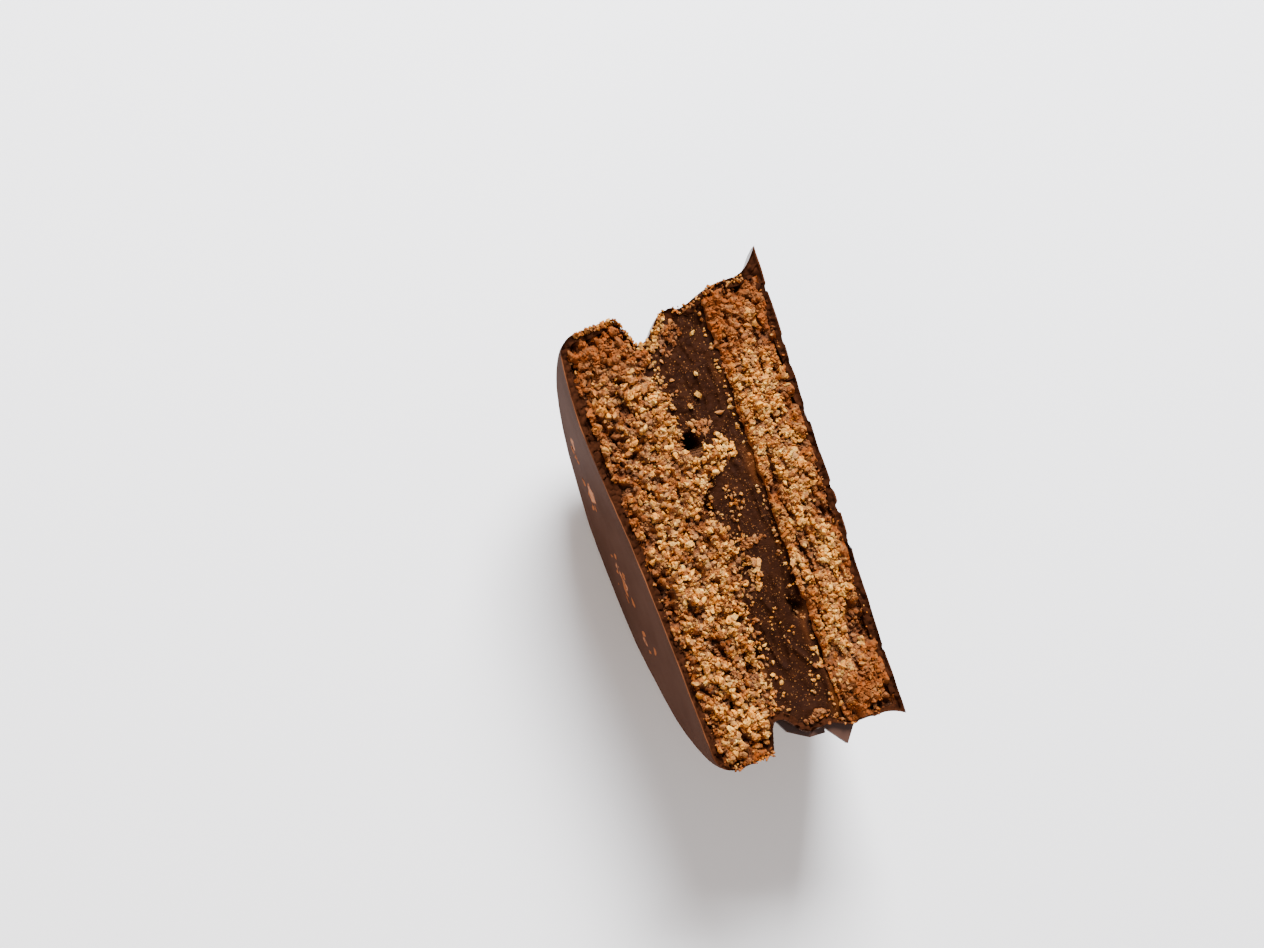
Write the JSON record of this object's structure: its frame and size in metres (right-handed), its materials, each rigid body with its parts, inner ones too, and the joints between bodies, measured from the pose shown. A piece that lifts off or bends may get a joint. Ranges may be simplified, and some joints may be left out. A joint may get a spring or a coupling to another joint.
{
  "type": "chocolate-coated alfajor half",
  "caption": "Broken half of a round chocolate-coated alfajor lying on its rim, with crumbly biscuit, thick filling and thin coat showing on the broken face.",
  "frame": {"origin": "centre of the bounding box at its lowest level, on the small flat spot of the rim that the half lies on", "axes": "+Z out of the broken face, upwards; +X along the disc's axis, from the flat top to the base with the foot; +Y along the break, towards the end where the foot is widest"},
  "size_m": [0.029, 0.0622, 0.0298],
  "materials": {
    "coating": "dark chocolate with a satin sheen",
    "biscuit_top": "dry coarse crumb",
    "filling": "dense dark paste, dull satin",
    "biscuit_base": "dry flaky crumb"
  },
  "bodies": {
    "root": {"coating": "coating", "biscuit_top": "biscuit_top", "filling": "filling", "biscuit_base": "biscuit_base"}
  },
  "joints": []
}
